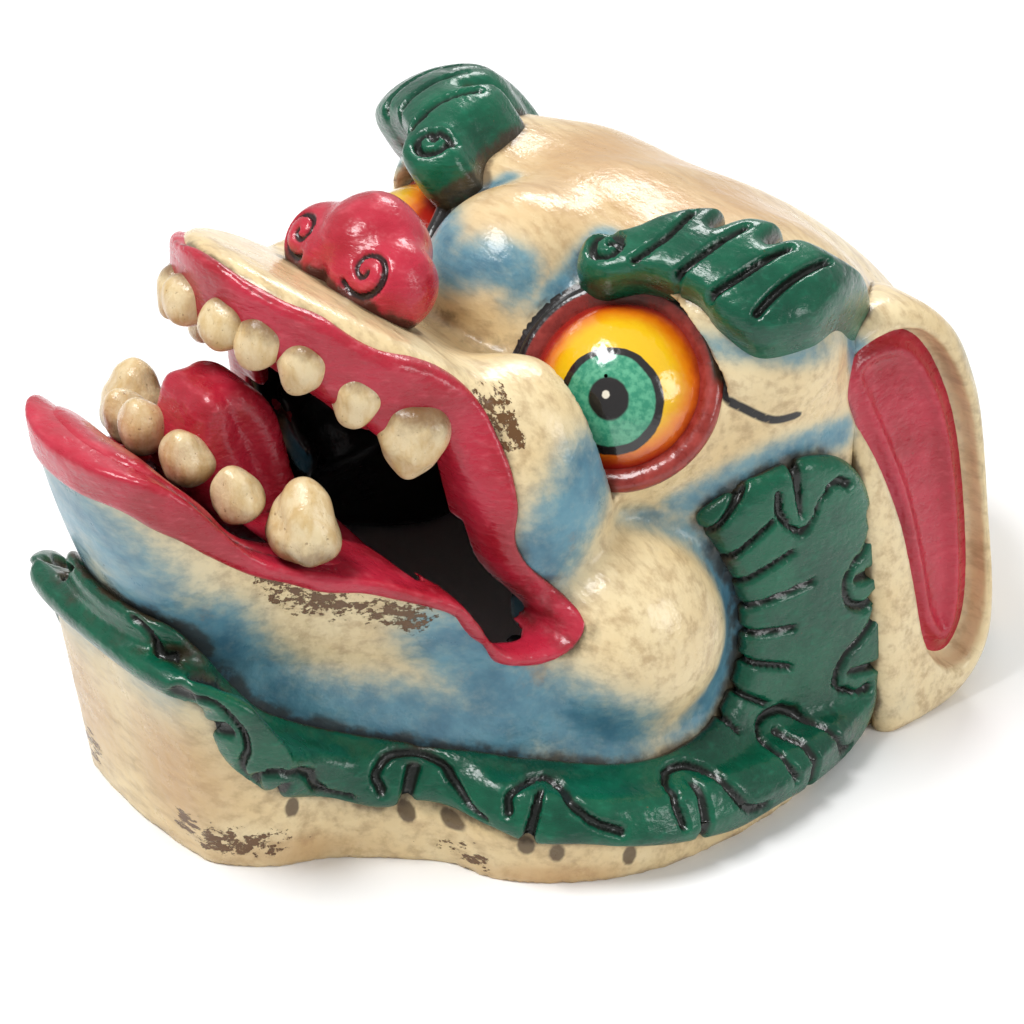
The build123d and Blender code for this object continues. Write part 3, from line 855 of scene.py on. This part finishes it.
# ---------------------------------------------------------------- lips, gums, tongue and nose
for name, form, low, high, step, nodes in (
        ("upper_lip", upper_lip, (0, -140, 66), (104, -48, 222), 1.3, ["upper_lip"]),
        ("lower_lip", lower_lip, (0, -200, 80), (104, -74, 166), 1.3, ["lower_lip"]),
        ("gums", gums, (0, -190, 88), (90, -60, 186), 1.5, ["upper_gum", "lower_gum"]),
        ("tongue", tongue, (0, -156, 82), (26, -86, 164), 1.0, ["tongue"]),
        ("nose", nose, (0, -96, 156), (36, -40, 204), 1.0, ["nose"])):
    verts, faces, normals = sculpt(form, low, high, step)
    verts = verts + normals * (lumps(verts, 26, 3) * 0.5)[:, None]
    cut = np.zeros(len(verts))
    if name == "nose":
        q = folded(verts)
        turn = np.linspace(0.2, 8.6, 22)
        spiral = [(19 + cos(a) * (1.2 + a), -3 - sin(a) * (1.2 + a)) for a in turn]
        lines = Outline(spiral, (-40, -40), (60, 40), 0.5, closed=False)
        up = (q - NOSE) @ np.array((0, 0.62, 0.78), np.float32)
        facing = step_up(normals[:, 1] * -1, -0.4, 0.1)
        verts, cut = carved(verts, normals, lines(q[:, 0], up) + 9 * (1 - facing), 1.5, 1.8)
    build(name, verts, faces, nodes, "crimson_paint", crimson, hollow=hollows(verts, normals), groove=cut)

# ---------------------------------------------------------------- brows, ears and eyes
BROW_LINES = [[(-11, 16), (-15, 2), (-23, -10)], [(8, 13), (0, -2), (-7, -13)],
              [(24, 10), (14, -8), (6, -18)], [(36, 12), (28, -6), (22, -20)],
              [(-31, -1), (-36, 2), (-40, -3), (-38, -9), (-32, -9), (-30, -4), (-34, -3)]]


def brow_lines(q):
    """Distance to the strokes and the curl carved into the brow."""
    u, v = in_brow(q)
    lines = np.full(len(q), 99.0)
    for line in BROW_LINES:
        lines = np.minimum(lines, Outline(line, (-70, -50), (70, 50), 0.5, closed=False)(u, v))
    return lines


RIGHT_BROW_SHIFT = np.array((3, -3, 4))     # the right brow is carved a little higher


def each_side():
    """The mask's left, as it is worked out, and its right, mirrored."""
    return (("left", False), ("right", True))


verts, faces, normals = sculpt(brow, (18, -30, 130), (122, 80, 222), 1.0, both=False)
verts, cut = carved(verts, normals, brow_lines(verts), 2.2, 3.4)
shut = hollows(verts, normals)
for side, mirror in each_side():
    lifted = verts + (RIGHT_BROW_SHIFT if mirror else 0)
    build(f"brow_{side}", lifted, faces, [f"brow_{side}"], "green_hair", green_hair, mirror, hollow=shut,
          groove=cut)

verts, faces, normals = sculpt(ear, (60, 46, -3), (142, 128, 182), 1.5, both=False)
paint = paint_skin(verts, normals)
paint["inside"] *= 0
for side, mirror in each_side():
    build(f"ear_{side}", verts, faces, [f"ear_{side}"], "cream_gesso", cream_gesso, mirror, **paint)
verts, faces, normals = sculpt(concha, (60, 52, 6), (142, 122, 166), 1.5, both=False)
# painted shade: the lining darkens towards the bowl's edge, where its inner wall falls in shadow, on top of
# the painted shade in its hollows
edge = 1 - step_up(-concha_side(verts[:, 1], verts[:, 2]), -1, 8)
shut = np.maximum(hollows(verts, normals) * 0.6, edge * 0.62)
for side, mirror in each_side():
    build(f"ear_bowl_{side}", verts, faces, [], "crimson_paint", crimson, mirror, hollow=shut,
          groove=np.zeros(len(verts)))


def turned_ring(centre, direction, profile, count=96):
    """A surface of revolution about a direction, from (distance along, radius) pairs."""
    forward, side, up = axes_round(direction)
    rows = []
    for along, radius in profile:
        angle = 2 * pi * np.arange(count) / count
        rows.append(np.array(centre) + forward * along
                    + radius * (np.cos(angle)[:, None] * side + np.sin(angle)[:, None] * up))
    n = len(rows)
    i, j = np.meshgrid(np.arange(n - 1), np.arange(count), indexing="ij")
    k = (j + 1) % count
    faces = np.stack([i * count + j, (i + 1) * count + j, (i + 1) * count + k, i * count + k], -1)
    return np.concatenate(rows).astype(np.float32), faces.reshape(-1, 4)[:, ::-1]


tilt = np.linspace(0.02, 2.2, 60)
verts, faces = turned_ring(EYE, GAZE, [(EYE_RADIUS * cos(a), EYE_RADIUS * sin(a)) for a in tilt])
forward, side_axis, up_axis = axes_round(GAZE)
away = verts - np.array(EYE)
across, upward = away @ side_axis, away @ up_axis
ring = np.hypot(across - 2, upward + 7)
# the last layer places the painted highlight, near the pupil's centre
layers = {"ring": ring, "glow": np.hypot(across - 2, upward) - 17, "highlight_dot": np.hypot(across - 1, upward + 6),
          "hollow": hollows(verts, away / EYE_RADIUS) * 0.5}
for side, mirror in each_side():
    build(f"eye_{side}", verts, faces, [f"eye_{side}"], "eye_paint", eyeball, mirror, **layers)

# the lid's section, as (distance from the eye's centre, degrees from the gaze)
LID = [(31, 61), (33.5, 60.7), (35.8, 61), (37.6, 62.2), (38.6, 64.2), (38.8, 66.8), (38.2, 69.5), (36, 72)]
profile = [(r * cos(radians(a)), r * sin(radians(a))) for r, a in LID]
LID_STEPS = 128
verts, faces = turned_ring(EYE, GAZE, profile, LID_STEPS)
row = np.repeat(np.arange(len(profile)) / (len(profile) - 1), LID_STEPS)
angle = np.tile(2 * pi * np.arange(LID_STEPS) / LID_STEPS, len(profile))
upper = step_up(np.sin(angle - 0.3), -0.35, 0.1)
line = upper * step_up(row, 0.36, 0.46)
normals = (verts - np.array(EYE)) / EYE_RADIUS
for side, mirror in each_side():
    build(f"eyelid_{side}", verts, faces, [f"eyelid_{side}"], "lid_paint", lid, mirror, line=line,
          hollow=hollows(verts, normals) * 0.7)

# ---------------------------------------------------------------- teeth
# centre, radii, and where the tip points
TEETH = {
    "upper_tooth_1": ((11, -133, 180), (9, 9, 8), (0.0, -0.8, -0.6)),
    "upper_tooth_2": ((23, -128, 177), (8.5, 8, 9), (0.0, -0.5, -0.85)),
    "upper_tooth_3": ((35, -119, 171), (9, 8, 9.5), (0.1, -0.45, -0.9)),
    "upper_tooth_4": ((47, -107, 161), (9, 8.5, 10), (0.1, -0.4, -0.9)),
    "upper_fang": ((58, -94, 147), (12, 10, 13), (0.15, -0.3, -0.95)),
    "lower_tooth_1": ((13, -151, 140), (9, 8, 10), (0.0, -0.3, 1.0)),
    "lower_tooth_2": ((33, -145, 133), (9, 8, 10), (0.0, -0.3, 1.0)),
    "lower_fang": ((51, -131, 127), (13, 10, 14), (0.0, 0.1, 1.0)),
}


def tooth_form(centre, radii, tip):
    """A rounded peg whose end is drawn towards the tip."""
    forward, side, up = axes_round(tip)

    def form(q, d):
        away = q - np.array(centre, np.float32)
        local = np.stack([away @ side, away @ up, away @ forward], 1).astype(np.float32)
        narrow = 1 + 0.028 * np.clip(local[:, 2], -radii[2], radii[2])
        local[:, :2] *= narrow[:, None]
        peg = ellipsoid(local, (0, 0, 0), (radii[0], radii[1], radii[2]))
        return peg * 0.85

    return form, forward


for kind, (centre, radii, tip) in TEETH.items():
    form, forward = tooth_form(centre, radii, tip)
    reach = max(radii) + 3
    low = tuple(c - reach for c in centre)
    high = tuple(c + reach for c in centre)
    for side, mirror in each_side():
        verts, faces, normals = sculpt(form, low, high, 0.8, both=False)
        verts = verts + normals * (lumps(verts, 11, len(kind) + mirror) * 0.55)[:, None]
        root = 0.5 - (verts - np.array(centre)) @ forward / radii[2] * 0.75
        build(f"{kind}_{side}", verts, faces, [f"{kind}_{side}"], "ivory_tooth", ivory_tooth, mirror,
              root=root)

# ---------------------------------------------------------------- studio
LOOK_FROM = (0.692, -0.521, 0.5)        # the camera's direction from the mask
LOOK_AT = (0, -10, 64)
DISTANCE = 1274
FRAME_SHARE = 3600 / 1024               # lens length over the frame's width


def at(point):
    return Vector(point) * UNIT + CENTRE


FLOOR_SIZE = 12
mesh = bpy.data.meshes.new("floor")
h = FLOOR_SIZE / 2
mesh.from_pydata([(-h, -h, 0), (h, -h, 0), (h, h, 0), (-h, h, 0)], [], [(0, 1, 2, 3)])
floor = bpy.data.objects.new("floor", mesh)
floor.location.z = cad_low.z
bpy.context.scene.collection.objects.link(floor)
paint = Paint("floor", 0.6, 0.0)
mesh.materials.append(paint.finish((0.93, 0.93, 0.93, 1)))
floor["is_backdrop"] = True

camera_data = bpy.data.cameras.new("camera")
camera_data.sensor_width = 36
camera_data.lens = 36 * FRAME_SHARE
camera_data.clip_end = 20
camera = bpy.data.objects.new("camera", camera_data)
camera.location = at(LOOK_AT) + Vector(LOOK_FROM).normalized() * DISTANCE * UNIT
camera.rotation_euler = (-Vector(LOOK_FROM)).to_track_quat("-Z", "Y").to_euler()
bpy.context.scene.collection.objects.link(camera)
bpy.context.scene.camera = camera


def softbox(name, place, size, power):
    """A soft rectangular light that looks at the mask."""
    light = bpy.data.lights.new(name, "AREA")
    light.shape = "RECTANGLE"
    light.size, light.size_y = size
    light.energy = power
    lamp = bpy.data.objects.new(name, light)
    lamp.location = place
    lamp.rotation_euler = (at(LOOK_AT) - Vector(place)).to_track_quat("-Z", "Y").to_euler()
    bpy.context.scene.collection.objects.link(lamp)


softbox("key", (-0.2, -0.7, 1.6), (0.8, 0.5), 24)
softbox("side", (1.6, 0.6, 0.9), (0.6, 0.8), 9)
softbox("back", (-1.0, 1.2, 1.3), (0.8, 0.5), 13)
world = bpy.data.worlds.new("studio")
world.use_nodes = True
world.node_tree.nodes["Background"].inputs["Color"].default_value = (1, 1, 1, 1)
world.node_tree.nodes["Background"].inputs["Strength"].default_value = 0.47
bpy.context.scene.world = world
bpy.context.scene.view_settings.view_transform = "Standard"

low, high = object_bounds()
